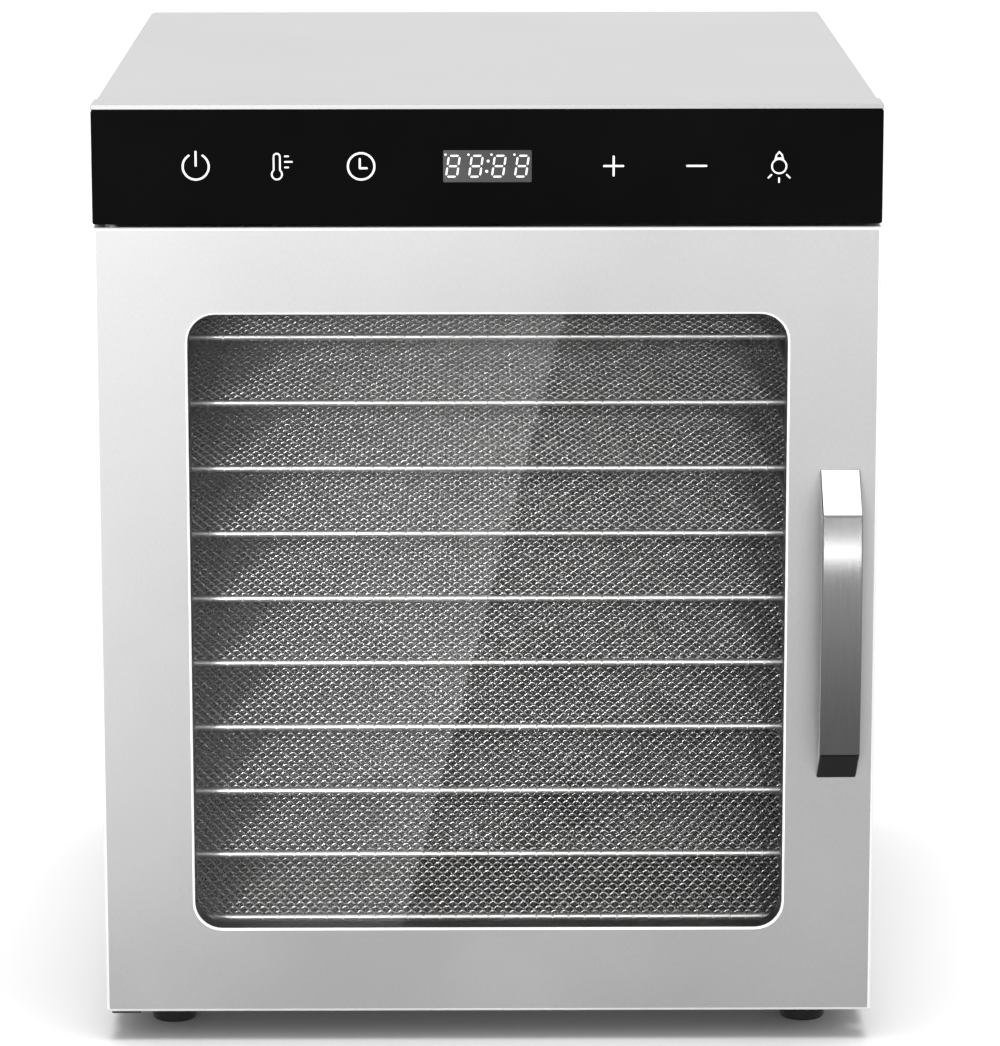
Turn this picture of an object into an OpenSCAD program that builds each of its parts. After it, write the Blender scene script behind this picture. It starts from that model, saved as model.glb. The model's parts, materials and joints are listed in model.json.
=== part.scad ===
/* [Cabinet] */
// Width of the cabinet, door and control panel
body_w = 340; // [330:1:360]
// Depth from the front of the door to the back panel
body_d = 390; // [380:1:420]
// Height from the bottom edge of the door to the top of the cabinet
body_h = 405.2; // [400:0.1:420]
// Height of the rubber feet below the bottom edge of the door
foot_h = 13.5; // [12:0.1:20]
// Thickness of the folded sheet steel
sheet_t = 0.8; // [0.6:0.1:1]

/* [Door] */
// Height of the door
door_h = 352.2; // [345:0.1:353]
// Thickness of the door
door_t = 20; // [19:0.5:21]
// Gap between the closed door and the cabinet front, which the gasket bridges
door_gap = 1.5; // [1.5:0.1:2]
// Width of the window in the door
window_w = 260; // [240:1:264]
// Height of the window's lower edge above the door's bottom edge
window_z = 38.5; // [36:0.1:42]
// Height of the window
window_h = 275.6; // [260:0.1:276]
// Radius of the window's corners
window_r = 12; // [8:0.5:16]

/* [Handle] */
// Distance of the handle's centre line from the cabinet's centre
handle_x = 153.3; // [150:0.1:155]
// Height of the handle's lower end above the door's bottom edge
handle_z = 107; // [60:1:160]
// Length of the handle
handle_len = 139; // [120:1:180]
// Width of the handle
handle_w = 17.6; // [14:0.1:19]
// How far the handle stands out from the door
handle_out = 22.5; // [20:0.1:30]

/* [Control panel] */
// Height of the control head above the door
head_h = 51.7; // [50:0.1:52]
// Thickness of the glass front of the control panel
panel_t = 2.5; // [2:0.1:3]

/* [Trays] */
// Number of trays
tray_count = 10; // [10:1:10]
// Distance from one tray to the next
tray_pitch = 29.61; // [29:0.01:29.7]
// Height of the lowest tray's centre above the door's bottom edge
tray_z = 30; // [29:0.1:31]
// Width of a tray
tray_w = 280; // [272:1:281]
// Depth of a tray
tray_d = 258; // [240:1:259]
// Distance from the front of the door to the front rod of a tray
tray_y = 45; // [44:0.5:46]
// Diameter of a tray's frame rod
tray_rod = 3; // [2.6:0.1:3.2]

/* [Chamber] */
// Inner width of the drying chamber
chamber_w = 288; // [288:1:292]
// Height of the chamber floor above the door's bottom edge
chamber_z = 14; // [13.5:0.1:14]
// Height of the chamber ceiling above the door's bottom edge
chamber_top = 338; // [337:0.1:339]
// Distance from the front of the door to the perforated baffle
baffle_y = 318; // [318:1:322]

/* [Fan and heater] */
// Height of the fan's axis above the door's bottom edge
fan_z = 176; // [165:1:187]
// Radius of the fan's blades
fan_r = 72; // [60:1:76]
// Number of fan blades
blade_count = 7; // [5:1:9]
// Radius of the fan's shaft
shaft_r = 2.5; // [2:0.1:3]
// Radius of the heating ring
heater_r = 86; // [84:1:92]

/* [Hidden] */
TRAY_NODES = [for (i = [1 : tray_count]) str("tray_", i < 10 ? "0" : "", i)];
FOOT_NODES = ["foot_front_left", "foot_front_right", "foot_rear_left", "foot_rear_right"];
$fn = 48;

// Rear parts that stand out behind the back panel
rear_out = 10;
// The row's Y = 0 is the middle of the depth from the handle to the rear spacers
front_y = -(body_d + rear_out - handle_out) / 2;
half_w = body_w / 2;
cabinet_y = door_t + door_gap;
base_z = -0.7;
wrap_r = 3;
chamber_half = chamber_w / 2;
liner_back_y = 357;
tray_half = tray_w / 2;
head_z = body_h - head_h;
mesh_t = 1;
grid_wire = 1;
grid_cells_x = 10;
grid_cells_y = 9;
tray_corner_r = 8;
pin_r = 3;
running_fit = 0.05;
hinge_x = -half_w + 8;
hinge_y = 8;
foot_x = half_w - 28;
foot_front_y = 36.5;
foot_rear_y = body_d - 35;
foot_screw_r = 2;
screw_r = 1.5;
SCREW_PLACES = [for (x = [-1, 1], z = [14, 200, body_h - 10]) [x * (half_w - 8), z]];
motor_y = 359.3;
heater_leg_x = 20;
heater_leg_z = fan_z - sqrt(heater_r * heater_r - heater_leg_x * heater_leg_x);
probe_x = 60;
probe_z = 306;
gland_x = 110;
gland_z = 60;
gland_r = 7;
cord_r = 3.6;
key_x = [-125.2, -90.4, -54.2, 54.2, 89.9, 125.3];
key_z = head_z + 25.1;
display_w = 38;
display_h = 13.8;
lamp_x = 0;
lamp_y = 80;
steel = [0.78, 0.79, 0.80];
dark = [0.08, 0.08, 0.09];
board_green = [0.05, 0.30, 0.16];

// ---------------------------------------------------------------- helpers
// Everything is drawn from the door's lower front edge, then set in the row's frame.
module place() {
    translate([0, front_y, foot_h]) children();
}

// A box given by its low and high limits along each axis
module block(x, y, z) {
    translate([x[0], y[0], z[0]]) cube([x[1] - x[0], y[1] - y[0], z[1] - z[0]]);
}

// A round bar along Y
module bar_y(x, z, r, y) {
    translate([x, y[0], z]) rotate([-90, 0, 0]) cylinder(r = r, h = y[1] - y[0]);
}

// A round bar along Z
module bar_z(x, y, r, z) {
    translate([x, y, z[0]]) cylinder(r = r, h = z[1] - z[0]);
}

// A flat outline in X and Z made into a plate between two depths
module plate(y) {
    translate([0, y[1], 0]) rotate([90, 0, 0]) linear_extrude(y[1] - y[0]) children();
}

// A rectangle with round corners, given by its limits
module rounded(x, z, r) {
    translate([x[0] + r, z[0]]) square([x[1] - x[0] - 2 * r, z[1] - z[0]]);
    translate([x[0], z[0] + r]) square([x[1] - x[0], z[1] - z[0] - 2 * r]);
    for (cx = [x[0] + r, x[1] - r], cz = [z[0] + r, z[1] - r])
        translate([cx, cz]) circle(r = r);
}

// A slot with round ends, lying along X
module slot(x, z, length, width) {
    translate([x, z]) {
        square([length - width, width], center = true);
        for (end = [-1, 1]) translate([end * (length - width) / 2, 0]) circle(d = width, $fn = 24);
    }
}

function tray_height(i) = tray_z + i * tray_pitch;
function foot_place(i) = [(i % 2 == 0 ? -1 : 1) * foot_x, i < 2 ? foot_front_y : foot_rear_y];

// ---------------------------------------------------------------- case
module base_pan() {
    pan_x = half_w - sheet_t - 0.2;
    pan_y = [cabinet_y + sheet_t, body_d - sheet_t];
    pan_h = 8;
    color(steel) place() difference() {
        block([-pan_x, pan_x], pan_y, [base_z, base_z + pan_h]);
        block([-pan_x + 1, pan_x - 1], [pan_y[0] + 1, pan_y[1] - 1], [base_z + 1, base_z + pan_h + 1]);
        for (i = [0 : 3])
            bar_z(foot_place(i)[0], foot_place(i)[1], foot_screw_r + 0.1, [base_z - 1, base_z + 2]);
        for (i = [-4 : 4])
            block([i * 18 - 2, i * 18 + 2], [300, 340], [base_z - 1, base_z + 2]);
    }
}

// Top and sides in one bent sheet, with a flange at the rear that the back panel screws to
module outer_wrap() {
    flange_y = [body_d - 2 * sheet_t, body_d - sheet_t];
    color(steel) place() {
        wrap_shell();
        plate(flange_y) difference() {
            rounded([-half_w + 0.4, half_w - 0.4], [8, body_h - 0.4], wrap_r - 0.4);
            rounded([-half_w + 16, half_w - 16], [-8, body_h - 16], 3);
            for (place_2d = SCREW_PLACES)
                translate(place_2d) circle(r = screw_r + 0.1, $fn = 24);
        }
    }
}

module wrap_shell() {
    vent_y = [320, 350];
    difference() {
        plate([cabinet_y, body_d - sheet_t]) difference() {
            rounded([-half_w, half_w], [base_z - 20, body_h], wrap_r);
            rounded([-half_w + sheet_t, half_w - sheet_t], [base_z - 30, body_h - sheet_t], wrap_r - sheet_t);
            translate([-half_w - 1, base_z - 30]) square([body_w + 2, 30]);
        }
        for (i = [0 : 9])
            block([-half_w - 1, half_w + 1], vent_y, [245 + i * 9, 248 + i * 9]);
    }
}

module back_panel() {
    color(steel) place() plate([body_d - sheet_t, body_d]) difference() {
        rounded([-half_w, half_w], [base_z, body_h], wrap_r);
        for (column = [-1, 1], row = [0 : 7])
            slot(column * 62, 300 + row * 9, 90, 4);
        for (ring = [1 : 4], i = [0 : ring * 8 - 1]) {
            turn = 360 * i / (ring * 8);
            translate([ring * 9 * cos(turn), fan_z + ring * 9 * sin(turn)]) circle(r = 2.5, $fn = 24);
        }
        translate([gland_x, gland_z]) circle(r = gland_r + 0.1);
        for (place_2d = SCREW_PLACES)
            translate(place_2d) circle(r = screw_r + 0.2, $fn = 24);
    }
}

module front_frame() {
    color(steel) place() plate([cabinet_y, cabinet_y + sheet_t]) difference() {
        rounded([-half_w + sheet_t + 0.1, half_w - sheet_t - 0.1], [0, door_h - 0.2], 2);
        rounded([-chamber_half, chamber_half], [chamber_z, chamber_top], 6);
        translate([154.3, 159.8]) square([8.4, 32.4]);
    }
}

module liner_side(side) {
    near = side * chamber_half;
    far = side * (chamber_half + sheet_t);
    color(steel) place()
        block([min(near, far), max(near, far)], [cabinet_y + sheet_t, liner_back_y],
              [chamber_z - sheet_t, chamber_top + sheet_t]);
}

module liner_floor() {
    color(steel) place() block([-chamber_half, chamber_half], [cabinet_y + sheet_t, liner_back_y],
                               [chamber_z - sheet_t, chamber_z]);
}

module liner_ceiling() {
    color(steel) place() difference() {
        block([-chamber_half, chamber_half], [cabinet_y + sheet_t, liner_back_y],
              [chamber_top, chamber_top + sheet_t]);
        bar_z(lamp_x, lamp_y, 15.1, [chamber_top - 1, chamber_top + 2]);
    }
}

module liner_back() {
    wall = chamber_half + sheet_t;
    color(steel) place() plate([liner_back_y, liner_back_y + sheet_t]) difference() {
        rounded([-wall, wall], [chamber_z - sheet_t, chamber_top + sheet_t], 1);
        translate([0, fan_z]) circle(r = 8);
        for (side = [-1, 1])
            translate([side * heater_leg_x, heater_leg_z]) circle(r = 5);
    }
}

module rear_baffle() {
    color(steel) place() plate([baffle_y, baffle_y + sheet_t]) difference() {
        rounded([-chamber_half + 0.1, chamber_half - 0.1], [chamber_z + 0.1, chamber_top - 0.1], 1);
        for (ring = [1 : 5], i = [0 : ring * 6 - 1]) {
            turn = 360 * i / (ring * 6);
            translate([ring * 12 * cos(turn), fan_z + ring * 12 * sin(turn)]) circle(r = 4, $fn = 24);
        }
        for (side = [-1, 1], row = [0 : 9])
            slot(side * 118, tray_height(row) + tray_pitch / 2, 36, 6);
        translate([probe_x, probe_z]) circle(r = 2.6);
    }
}

// One angle rail for each tray, with a stop at the back
module tray_rails(side) {
    ledge_in = tray_half - 4.5;
    rail_y = [cabinet_y + 2.5, baffle_y - 6];
    color(steel) place() for (i = [0 : tray_count - 1]) {
        top = tray_height(i) - tray_rod / 2 - 0.2;
        mirror([side < 0 ? 1 : 0, 0, 0]) union() {
            block([ledge_in, chamber_half], rail_y, [top - 1, top]);
            block([chamber_half - 1, chamber_half], rail_y, [top - 1, top + 7]);
            block([ledge_in, chamber_half], [tray_y + tray_d + 2, tray_y + tray_d + 3], [top - 1, top + 4]);
        }
    }
}

module foot(i) {
    color(dark) place() translate([foot_place(i)[0], foot_place(i)[1], -foot_h]) difference() {
        cylinder(r1 = 9.8, r2 = 11.5, h = foot_h + base_z);
        translate([0, 0, -1]) cylinder(r = 5, h = 7);
        cylinder(r = foot_screw_r + 0.1, h = 20);
    }
}

module case_screws() {
    color([0.6, 0.6, 0.62]) place() {
        for (i = [0 : 3]) {
            bar_z(foot_place(i)[0], foot_place(i)[1], 4, [-foot_h + 3.4, -foot_h + 6]);
            bar_z(foot_place(i)[0], foot_place(i)[1], foot_screw_r, [-foot_h + 5.9, base_z + 7]);
            translate([foot_place(i)[0], foot_place(i)[1], base_z + 1]) cylinder(r = 4, h = 3.2, $fn = 6);
        }
        for (place_2d = SCREW_PLACES) {
            bar_y(place_2d[0], place_2d[1], 3.2, [body_d, body_d + 2]);
            bar_y(place_2d[0], place_2d[1], screw_r, [body_d - 8, body_d + 0.1]);
        }
    }
}

module rear_spacers() {
    color(dark) place() for (x = [-1, 1])
        translate([x * 130, body_d + rear_out, 330]) rotate([90, 0, 0]) cylinder(r1 = 8, r2 = 10, h = rear_out);
}

module cable_gland() {
    color(dark) place() difference() {
        union() {
            bar_y(gland_x, gland_z, gland_r, [body_d - 14, body_d + 1]);
            bar_y(gland_x, gland_z, 10, [body_d, body_d + 4]);
            bar_y(gland_x, gland_z, 7.5, [body_d + 3, body_d + rear_out - 1]);
            bar_y(gland_x, gland_z, 9.5, [body_d - 6, body_d - sheet_t - 0.1]);
        }
        bar_y(gland_x, gland_z, cord_r, [body_d - 20, body_d + 20]);
    }
}

// ---------------------------------------------------------------- fan and heater
module fan_motor() {
    color([0.55, 0.56, 0.58]) place() difference() {
        union() {
            block([-30, 30], [motor_y + 4, motor_y + 19], [fan_z - 26, fan_z + 26]);
            bar_y(0, fan_z, 19, [motor_y + 1.5, motor_y + 23]);
            bar_y(0, fan_z, 6, [motor_y - 1, motor_y + 26]);
        }
        bar_y(0, fan_z, shaft_r + running_fit, [motor_y - 5, motor_y + 22]);
    }
}

module motor_bracket() {
    color(steel) place() {
        difference() {
            block([-46, 46], [liner_back_y + sheet_t, motor_y], [fan_z - 12, fan_z + 12]);
            bar_y(0, fan_z, 8, [liner_back_y, motor_y + 1]);
        }
        for (side = [-1, 1])
            bar_y(side * 25, fan_z, 3, [motor_y, motor_y + 4]);
    }
}

module fan_shaft() {
    color([0.7, 0.7, 0.72]) place() bar_y(0, fan_z, shaft_r, [334, motor_y + 20]);
}

module fan_impeller() {
    hub_y = [338, 350];
    color([0.7, 0.71, 0.72]) place() difference() {
        union() {
            bar_y(0, fan_z, 11, hub_y);
            for (i = [0 : blade_count - 1])
                translate([0, 344, fan_z]) rotate([0, i * 360 / blade_count, 0])
                    rotate([28, 0, 0]) translate([9, -9, -0.6]) cube([fan_r - 9, 18, 1.2]);
        }
        bar_y(0, fan_z, shaft_r, [330, 360]);
    }
}

module fan_nut() {
    color([0.6, 0.6, 0.62]) place() difference() {
        translate([0, 334, fan_z]) rotate([-90, 0, 0]) cylinder(r = 5, h = 4, $fn = 6);
        bar_y(0, fan_z, shaft_r, [330, 340]);
    }
}

// A ring around the fan, open at the bottom, whose two ends run back through the wall
module heating_element() {
    rod_r = 3.2;
    ring_y = 344;
    ends = asin(heater_leg_x / heater_r);
    color([0.35, 0.34, 0.33]) place() {
        translate([0, ring_y, fan_z]) rotate([90, 0, 0]) rotate([0, 0, -90 + ends])
            rotate_extrude(angle = 360 - 2 * ends) translate([heater_r, 0]) circle(r = rod_r, $fn = 24);
        for (side = [-1, 1])
            bar_y(side * heater_leg_x, heater_leg_z, rod_r, [ring_y - rod_r, liner_back_y + 12]);
        for (side = [-1, 1])
            block([side * heater_leg_x - 3, side * heater_leg_x + 3], [liner_back_y + 12, liner_back_y + 20],
                  [heater_leg_z - 0.4, heater_leg_z + 0.4]);
    }
}

module thermal_cutout() {
    color([0.75, 0.7, 0.6]) place() {
        bar_y(70, fan_z + 70, 8, [liner_back_y + sheet_t, liner_back_y + 11]);
        block([58, 82], [liner_back_y + sheet_t, liner_back_y + sheet_t + 1], [fan_z + 64, fan_z + 76]);
        for (side = [-1, 1])
            block([70 + side * 4 - 0.4, 70 + side * 4 + 0.4], [liner_back_y + 11, liner_back_y + 18],
                  [fan_z + 67, fan_z + 73]);
    }
}

module temperature_probe() {
    color([0.7, 0.7, 0.72]) place() {
        bar_y(probe_x, probe_z, 2.5, [baffle_y - 22, baffle_y + 8]);
        bar_y(probe_x, probe_z, 5, [baffle_y + sheet_t, baffle_y + sheet_t + 3]);
    }
}

// ---------------------------------------------------------------- chamber lamp
module lamp_holder() {
    color([0.9, 0.88, 0.84]) place() difference() {
        union() {
            bar_z(lamp_x, lamp_y, 15, [chamber_top, chamber_top + 16]);
            bar_z(lamp_x, lamp_y, 19, [chamber_top + sheet_t, chamber_top + 3]);
        }
        bar_z(lamp_x, lamp_y, 11, [chamber_top - 1, chamber_top + 8]);
    }
}

module lamp_bulb() {
    color([0.95, 0.95, 0.9]) place() {
        block([lamp_x - 7, lamp_x + 7], [lamp_y - 3, lamp_y + 3], [chamber_top + 1, chamber_top + 8]);
        bar_z(lamp_x, lamp_y, 4.5, [chamber_top - 6, chamber_top + 1]);
        translate([lamp_x, lamp_y, chamber_top - 6]) sphere(r = 4.5);
    }
}

module lamp_cover() {
    color([0.85, 0.9, 0.92]) place() difference() {
        union() {
            bar_z(lamp_x, lamp_y, 19, [chamber_top - 3, chamber_top]);
            bar_z(lamp_x, lamp_y, 14, [chamber_top - 13, chamber_top]);
        }
        bar_z(lamp_x, lamp_y, 12, [chamber_top - 11.5, chamber_top + 1]);
    }
}

// ---------------------------------------------------------------- control head
module fascia() {
    lip_z = body_h - 2.1;
    color(steel) place() difference() {
        union() {
            block([-half_w, half_w], [panel_t, cabinet_y - 0.1], [head_z, body_h]);
            block([-half_w, half_w], [0, panel_t + 1], [lip_z, body_h]);
        }
        block([-half_w + 1.2, half_w - 1.2], [panel_t + 1.2, cabinet_y + 1], [head_z + 1.5, body_h - 1.2]);
        block([-140, 140], [panel_t - 1, panel_t + 2], [head_z + 8, body_h - 8]);
        bar_z(hinge_x, hinge_y, pin_r + 0.2, [head_z - 1, head_z + 3]);
    }
}

module control_glass() {
    color(dark) place() plate([0, panel_t])
        rounded([-half_w, half_w], [head_z, body_h - 2.2], 1.2);
}

module display_module() {
    color([0.2, 0.2, 0.21]) place()
        block([-display_w / 2, display_w / 2], [panel_t, 8], [key_z - display_h / 2, key_z + display_h / 2]);
}

module touch_springs() {
    color([0.8, 0.75, 0.6]) place() for (x = key_x) difference() {
        bar_y(x, key_z, 5, [panel_t, 8]);
        bar_y(x, key_z, 3.8, [panel_t - 1, 9]);
    }
}

module control_board() {
    color(board_green) place() {
        block([-136, 136], [8, 9.6], [head_z + 10, head_z + 41]);
        block([-112, -98], [9.6, 11.6], [head_z + 16, head_z + 30]);
        block([64, 84], [9.6, 12], [head_z + 14, head_z + 20]);
    }
}

module board_carrier() {
    color([0.15, 0.15, 0.16]) place() {
        block([-150, 150], [14, 16], [head_z + 2, head_z + 49]);
        for (x = [-130, 0, 130], z = [head_z + 13, head_z + 38])
            bar_y(x, z, 3, [9.6, 14.5]);
        for (side = [-1, 1])
            block([side * 149 - 2, side * 149 + 2], [panel_t + 1.2, 14.5], [head_z + 4, head_z + 47]);
    }
}

module power_board() {
    board_z = chamber_top + 10;
    color(board_green) place() {
        block([-120, -10], [200, 300], [board_z, board_z + 1.6]);
        for (x = [-114, -16], y = [206, 294])
            bar_z(x, y, 3, [chamber_top + sheet_t, board_z + 0.1]);
        block([-112, -84], [222, 252], [board_z + 1.6, board_z + 26]);
        block([-70, -50], [216, 232], [board_z + 1.6, board_z + 17]);
        block([-44, -24], [216, 232], [board_z + 1.6, board_z + 17]);
        bar_z(-60, 262, 8, [board_z + 1.5, board_z + 24]);
        block([-100, -30], [282, 292], [board_z + 1.6, board_z + 14]);
    }
}

// ---------------------------------------------------------------- hinges and catch
module hinge_lower() {
    color(steel) place() {
        block([-half_w + 2, -half_w + 15], [hinge_y - pin_r - 0.2, 62], [base_z - 1.4, base_z]);
        bar_z(hinge_x, hinge_y, pin_r, [base_z - 1, 11]);
    }
}

module hinge_upper() {
    color(steel) place() {
        block([-half_w + 1.4, -half_w + 18], [4, 19], [head_z + 1.5, head_z + 3.5]);
        bar_z(hinge_x, hinge_y, pin_r, [door_h - 11, head_z + 3]);
    }
}

module magnet_catch() {
    color(dark) place() {
        block([154.5, 162.5], [cabinet_y, cabinet_y + 9], [160, 192]);
        block([152, 165], [cabinet_y + sheet_t + 0.1, cabinet_y + 3], [155, 197]);
    }
}

// ---------------------------------------------------------------- door
module door_skin() {
    skin_depth = door_t - 4.5;
    color(steel) place() difference() {
        block([-half_w, half_w], [0, skin_depth], [0, door_h]);
        block([-half_w + 1, half_w - 1], [1, skin_depth + 1], [1, door_h - 1]);
        plate([-1, 2]) rounded([-window_w / 2, window_w / 2], [window_z, window_z + window_h], window_r);
        bar_z(hinge_x, hinge_y, pin_r + 0.4, [-1, 2]);
        bar_z(hinge_x, hinge_y, pin_r + 0.4, [door_h - 2, door_h + 1]);
        for (end = [7, handle_len - 7])
            bar_y(handle_x, handle_z + end, 2.1, [-1, 2]);
    }
}

// A ring in X and Z between an outer and an inner outline that lies a fixed width inside it
module door_ring(y, half, z, width, r) {
    plate(y) difference() {
        rounded([-half, half], z, r);
        rounded([-half + width, half - width], [z[0] + width, z[1] - width], max(r - width, 0.5));
    }
}

module door_inner_frame() {
    opening = window_w / 2;
    opening_z = [window_z - 2.5, window_z + window_h + 2];
    edge = half_w - 4.5;
    color(dark) place() {
        plate([door_t - 1, door_t]) difference() {
            rounded([-edge, edge], [4.5, door_h - 4.5], 3);
            rounded([-opening, opening], opening_z, window_r);
        }
        door_ring([13.5, door_t - 0.5], edge, [4.5, door_h - 4.5], 1, 3);
        door_ring([13.5, door_t - 4.5], half_w - 1.1, [1.1, door_h - 1.1], 4.4, 2);
        plate([5, door_t - 0.5]) difference() {
            rounded([-opening - 1.5, opening + 1.5], [opening_z[0] - 1.5, opening_z[1] + 1.5], window_r + 1.5);
            rounded([-opening, opening], opening_z, window_r);
        }
    }
}

module door_glass() {
    color([0.6, 0.65, 0.68, 0.4]) place() plate([1, 5])
        rounded([-window_w / 2 - 9, window_w / 2 + 9], [window_z - 9, window_z + window_h + 9], 6);
}

module door_gasket() {
    color(dark) place() door_ring([door_t, cabinet_y - 0.2], 153, [5.5, 346.5], 5, 8);
}

// Side outline of the handle: two sloping legs and a grip bowed outwards
module handle_outline(inset) {
    leg_low = 15;
    leg_high = 17;
    bow = 2.5;
    steps = 14;
    out = handle_out - bow - inset;
    low = handle_z + inset * 1.5;
    high = handle_z + handle_len - inset * 1.5;
    grip = high - low - leg_low - leg_high;
    polygon(concat(
        [[0.01, low]],
        [for (i = [0 : steps])
            let (t = i / steps)
            [-out - bow * sin(180 * t), low + leg_low + t * grip]],
        [[0.01, high]]));
}

module door_handle() {
    color(steel) place() difference() {
        translate([handle_x - handle_w / 2, 0, 0]) rotate([90, 0, 90]) linear_extrude(handle_w)
            intersection() {
                difference() {
                    handle_outline(0);
                    translate([1, 0]) handle_outline(5.5);
                }
                translate([-handle_out - 1, handle_z - 1]) square([handle_out + 1, handle_len + 2]);
            }
        for (end = [7, handle_len - 7])
            bar_y(handle_x, handle_z + end, 2.05, [-6, 1]);
    }
}

module handle_screws() {
    color([0.6, 0.6, 0.62]) place() for (end = [7, handle_len - 7]) {
        bar_y(handle_x, handle_z + end, 4, [1, 3.4]);
        bar_y(handle_x, handle_z + end, 2, [-5, 1.1]);
    }
}

module hinge_bushes() {
    color([0.9, 0.9, 0.88]) place() for (z = [[1, 13], [door_h - 13, door_h - 1]]) difference() {
        block([-half_w + 1, -half_w + 18], [1, 13.4], z);
        bar_z(hinge_x, hinge_y, pin_r + running_fit, [z[0] - 1, z[1] + 1]);
    }
}

module strike_plate() {
    color([0.6, 0.6, 0.62]) place() block([154.5, 162.5], [door_t, door_t + 1], [158, 194]);
}

// ---------------------------------------------------------------- trays
// A rod frame with round corners and a wire grid welded in its top half
module tray(i) {
    cell_x = (tray_w - tray_rod) / grid_cells_x;
    cell_y = (tray_d - tray_rod) / grid_cells_y;
    color([0.85, 0.86, 0.87]) place() translate([0, tray_y, tray_height(i) - tray_rod / 2]) {
        linear_extrude(tray_rod) difference() {
            rounded([-tray_half, tray_half], [0, tray_d], tray_corner_r);
            rounded([-tray_half + tray_rod, tray_half - tray_rod], [tray_rod, tray_d - tray_rod],
                    tray_corner_r - tray_rod);
        }
        translate([0, 0, tray_rod / 2]) linear_extrude(mesh_t) union() {
            for (column = [1 : grid_cells_x - 1])
                translate([-tray_half + tray_rod / 2 + column * cell_x - grid_wire / 2, 1])
                    square([grid_wire, tray_d - 2]);
            for (row = [1 : grid_cells_y - 1])
                translate([-tray_half + 1, tray_rod / 2 + row * cell_y - grid_wire / 2])
                    square([tray_w - 2, grid_wire]);
        }
    }
}

module crumb_tray() {
    pan_half = tray_half - 3;
    color([0.7, 0.71, 0.72]) place() translate([0, tray_y, chamber_z + 0.3]) difference() {
        translate([-pan_half, 0, 0]) cube([2 * pan_half, tray_d, 8]);
        translate([-pan_half + 1, 1, 1]) cube([2 * pan_half - 2, tray_d - 2, 8]);
    }
}

base_pan();
outer_wrap();
back_panel();
front_frame();
liner_side(-1);  // liner_left
liner_side(1);  // liner_right
liner_floor();
liner_ceiling();
liner_back();
rear_baffle();
tray_rails(-1);  // tray_rails_left
tray_rails(1);  // tray_rails_right
fascia();
control_glass();
display_module();
touch_springs();
control_board();
board_carrier();
power_board();
fan_motor();
motor_bracket();
heating_element();
thermal_cutout();
temperature_probe();
lamp_holder();
lamp_bulb();
lamp_cover();
hinge_lower();
hinge_upper();
magnet_catch();
cable_gland();
rear_spacers();
case_screws();
fan_shaft();
fan_impeller();
fan_nut();
door_skin();
door_inner_frame();
door_glass();
door_gasket();
door_handle();
handle_screws();
hinge_bushes();
strike_plate();
crumb_tray();
for (i = [0 : 3])
    foot(i);
for (i = [0 : tray_count - 1])
    tray(i);
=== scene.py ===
"""Looks of a food dehydrator: materials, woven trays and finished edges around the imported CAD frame."""
import json
import math

import bmesh
import bpy
from mathutils import Matrix, Vector

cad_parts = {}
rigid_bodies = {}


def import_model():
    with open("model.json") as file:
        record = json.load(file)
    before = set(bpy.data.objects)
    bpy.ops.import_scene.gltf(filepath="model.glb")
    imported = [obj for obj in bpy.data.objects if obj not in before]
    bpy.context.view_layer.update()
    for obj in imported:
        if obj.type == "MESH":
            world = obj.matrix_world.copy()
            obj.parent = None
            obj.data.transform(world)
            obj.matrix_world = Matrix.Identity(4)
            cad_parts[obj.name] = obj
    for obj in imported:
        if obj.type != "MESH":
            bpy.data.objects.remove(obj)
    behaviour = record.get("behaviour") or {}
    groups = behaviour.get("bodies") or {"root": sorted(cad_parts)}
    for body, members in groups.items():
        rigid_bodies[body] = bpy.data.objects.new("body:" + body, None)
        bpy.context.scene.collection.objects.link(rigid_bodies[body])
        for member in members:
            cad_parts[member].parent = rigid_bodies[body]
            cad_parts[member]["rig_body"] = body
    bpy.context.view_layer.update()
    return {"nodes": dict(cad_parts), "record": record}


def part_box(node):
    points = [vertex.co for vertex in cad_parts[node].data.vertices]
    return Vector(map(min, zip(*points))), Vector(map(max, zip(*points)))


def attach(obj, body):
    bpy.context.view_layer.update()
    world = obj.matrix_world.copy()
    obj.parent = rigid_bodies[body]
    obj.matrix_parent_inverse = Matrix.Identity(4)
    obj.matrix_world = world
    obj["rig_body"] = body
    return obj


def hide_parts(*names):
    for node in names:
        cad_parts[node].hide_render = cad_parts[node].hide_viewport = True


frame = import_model()
NODES = frame["nodes"]
SLOT_OF = {part["node"]: part["material_slot"] for part in frame["record"]["subparts"]}
MM = 0.001

# Places that the pieces are built from, read off the frame
DOOR_LOW, DOOR_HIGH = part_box("door_skin")
PANEL_LOW, PANEL_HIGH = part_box("control_glass")
HANDLE_LOW, HANDLE_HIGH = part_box("door_handle")
FRONT_Y = DOOR_LOW.y


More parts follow.
